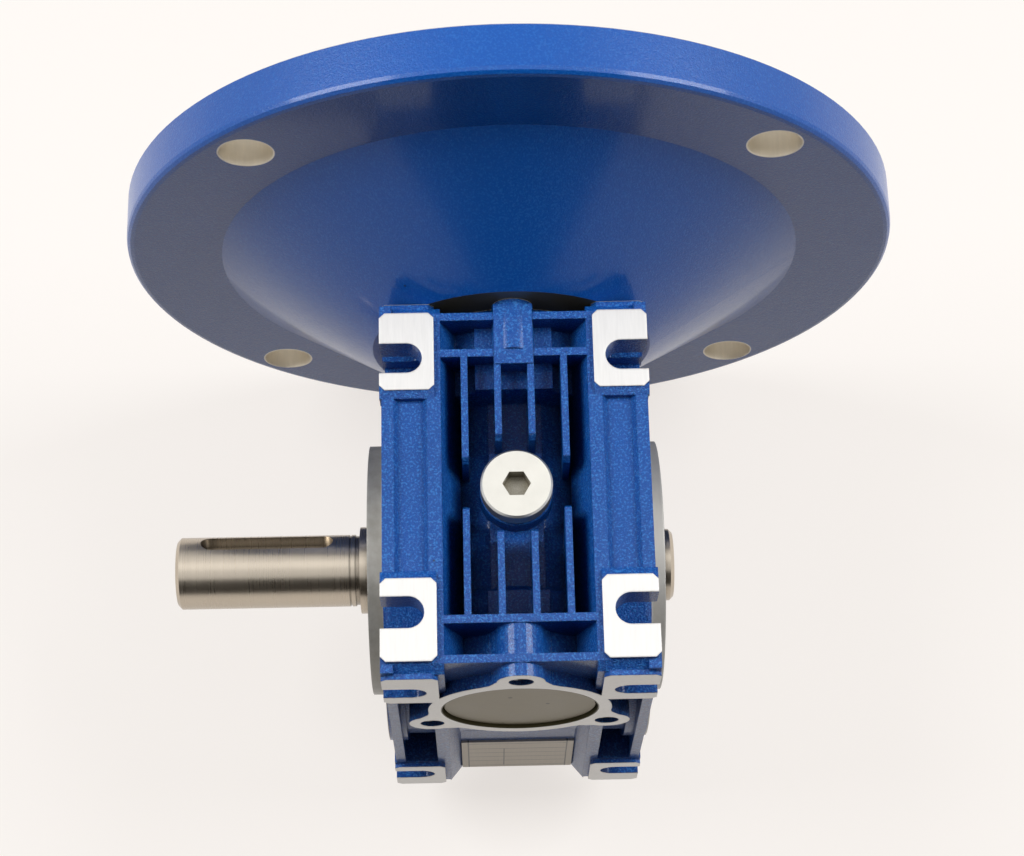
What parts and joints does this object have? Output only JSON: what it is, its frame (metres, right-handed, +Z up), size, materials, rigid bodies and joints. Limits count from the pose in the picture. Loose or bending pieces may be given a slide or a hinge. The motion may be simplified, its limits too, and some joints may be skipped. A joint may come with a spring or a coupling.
{
  "type": "worm gear reducer",
  "caption": "Compact right-angle worm gear reducer with a ribbed square casing, a large round motor flange and a keyed solid output shaft.",
  "frame": {"origin": "where the output axis crosses the middle plane of the casing", "axes": "+X along the output axis away from the solid shaft's free end, +Y along the worm axis out of the motor flange, +Z up with the worm above the output axis"},
  "size_m": [0.1662, 0.1118, 0.1662],
  "materials": {
    "casing_paint": "glossy blue paint over cast aluminium, machined faces bare",
    "flange_paint": "glossy blue paint, bolt holes bare",
    "ground_steel": "ground",
    "bearing_steel": "polished",
    "dark_steel": "oiled black",
    "zinc_steel": "zinc plated",
    "cap_coating": "dull grey-olive coating",
    "plate_aluminium": "satin",
    "bronze": "machined",
    "black_rubber": "matte"
  },
  "bodies": {
    "casing": {"housing": "casing_paint", "output_cover": "casing_paint", "cover_seal_ring": "black_rubber", "cover_screws": "zinc_steel", "input_flange": "flange_paint", "input_flange_screws": "dark_steel", "input_oil_seal": "black_rubber", "input_bearing_outer_ring": "bearing_steel", "input_bearing_circlip": "dark_steel", "rear_bearing_outer_ring": "bearing_steel", "rear_bearing_circlip": "dark_steel", "rear_end_cap": "cap_coating", "output_bearing_left_outer_ring": "bearing_steel", "output_bearing_right_outer_ring": "bearing_steel", "output_oil_seal_left": "black_rubber", "output_oil_seal_right": "black_rubber", "filler_plug": "zinc_steel", "filler_plug_washer": "zinc_steel", "nameplate": "plate_aluminium"},
    "output_group": {"hollow_output_shaft": "bearing_steel", "worm_wheel_rim": "bronze", "output_shaft": "ground_steel", "output_shaft_key": "ground_steel", "output_shaft_circlip": "dark_steel", "output_bearing_left_inner_ring": "bearing_steel", "output_bearing_right_inner_ring": "bearing_steel"},
    "worm_group": {"worm_shaft": "ground_steel", "input_bearing_inner_ring": "bearing_steel", "rear_bearing_inner_ring": "bearing_steel"}
  },
  "joints": [
    {"name": "output_spin", "type": "hinge", "parent": "casing", "child": "output_group", "pos_m": [0, 0, 0], "axis": [1, 0, 0], "continuous": true},
    {"name": "worm_spin", "type": "hinge", "parent": "casing", "child": "worm_group", "pos_m": [0, 0, 0.03], "axis": [0, 1, 0], "continuous": true}
  ],
  "couplings": [
    {"joint": "worm_spin", "follows": "output_spin", "ratio": 30}
  ]
}
